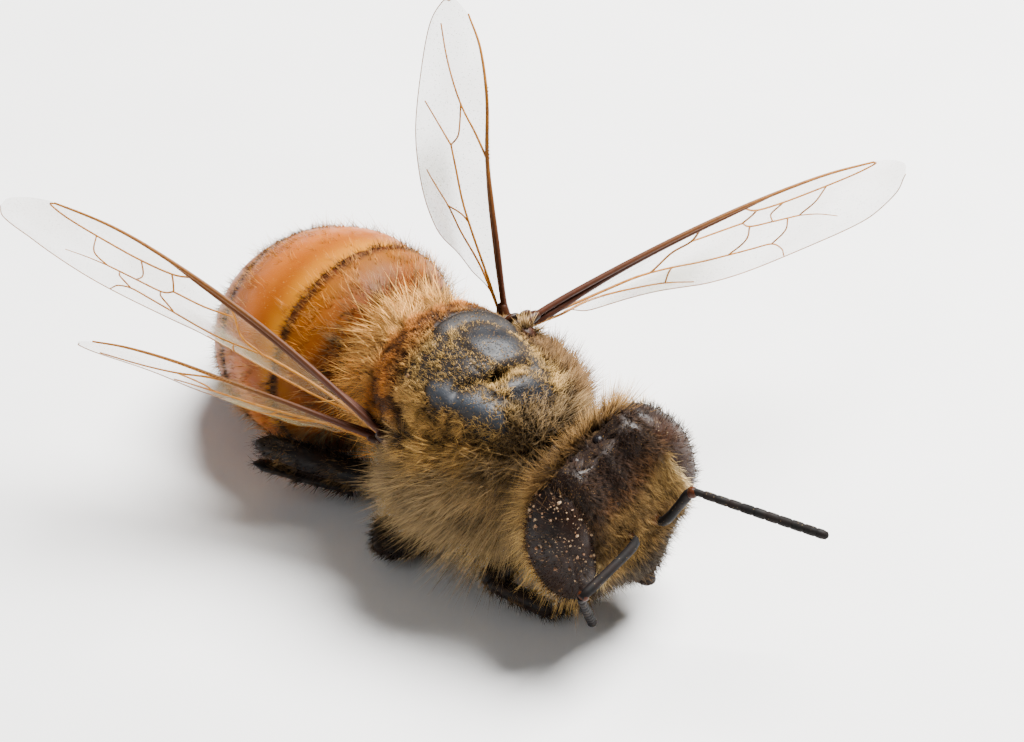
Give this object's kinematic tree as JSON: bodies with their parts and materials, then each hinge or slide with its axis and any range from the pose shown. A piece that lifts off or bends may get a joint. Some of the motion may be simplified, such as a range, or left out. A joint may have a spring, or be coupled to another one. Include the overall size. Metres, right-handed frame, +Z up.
{
  "type": "honey bee",
  "caption": "Still life-size worker honey bee lying on its folded legs with a curled abdomen and spread wings.",
  "frame": {"origin": "on the floor under the middle of the model's outline", "axes": "+Z up, -Y the way the bee faces, +X the bee's left side"},
  "size_m": [0.0162, 0.0168, 0.0099],
  "materials": {
    "shell": "satin black chitin",
    "eye": "dull gloss, brown-black",
    "fur_buff": "pale tan hair",
    "fur_olive": "short olive-brown hair",
    "amber": "glossy orange chitin",
    "brown_band": "glossy dark brown chitin",
    "wing": "clear veined membrane"
  },
  "bodies": {
    "root": {"abdomen_1": "amber", "abdomen_2": "amber", "abdomen_3": "amber", "abdomen_4": "brown_band", "abdomen_5": "brown_band", "abdomen_6": "brown_band", "antenna_left_flagellum": "shell", "antenna_left_scape": "shell", "antenna_right_flagellum": "shell", "antenna_right_scape": "shell", "eye_left": "eye", "eye_right": "eye", "forewing_left": "wing", "forewing_right": "wing", "head": "fur_olive", "hindwing_left": "wing", "hindwing_right": "wing", "leg_fore_left_coxa": "shell", "leg_fore_left_femur": "shell", "leg_fore_left_tarsus": "shell", "leg_fore_left_tibia": "shell", "leg_fore_right_coxa": "shell", "leg_fore_right_femur": "shell", "leg_fore_right_tarsus": "shell", "leg_fore_right_tibia": "shell", "leg_hind_left_coxa": "shell", "leg_hind_left_femur": "shell", "leg_hind_left_tarsus": "shell", "leg_hind_left_tibia": "shell", "leg_hind_right_coxa": "shell", "leg_hind_right_femur": "shell", "leg_hind_right_tarsus": "shell", "leg_hind_right_tibia": "shell", "leg_mid_left_coxa": "shell", "leg_mid_left_femur": "shell", "leg_mid_left_tarsus": "shell", "leg_mid_left_tibia": "shell", "leg_mid_right_coxa": "shell", "leg_mid_right_femur": "shell", "leg_mid_right_tarsus": "shell", "leg_mid_right_tibia": "shell", "mandible_left": "shell", "mandible_right": "shell", "neck": "shell", "ocellus_left": "shell", "ocellus_middle": "shell", "ocellus_right": "shell", "proboscis": "brown_band", "tegula_left": "fur_buff", "tegula_right": "fur_buff", "thorax_collar": "fur_olive", "thorax_propodeum": "fur_buff", "thorax_scutellum": "fur_buff", "thorax_scutum": "shell", "thorax_side_left": "fur_buff", "thorax_side_right": "fur_buff"}
  },
  "joints": []
}
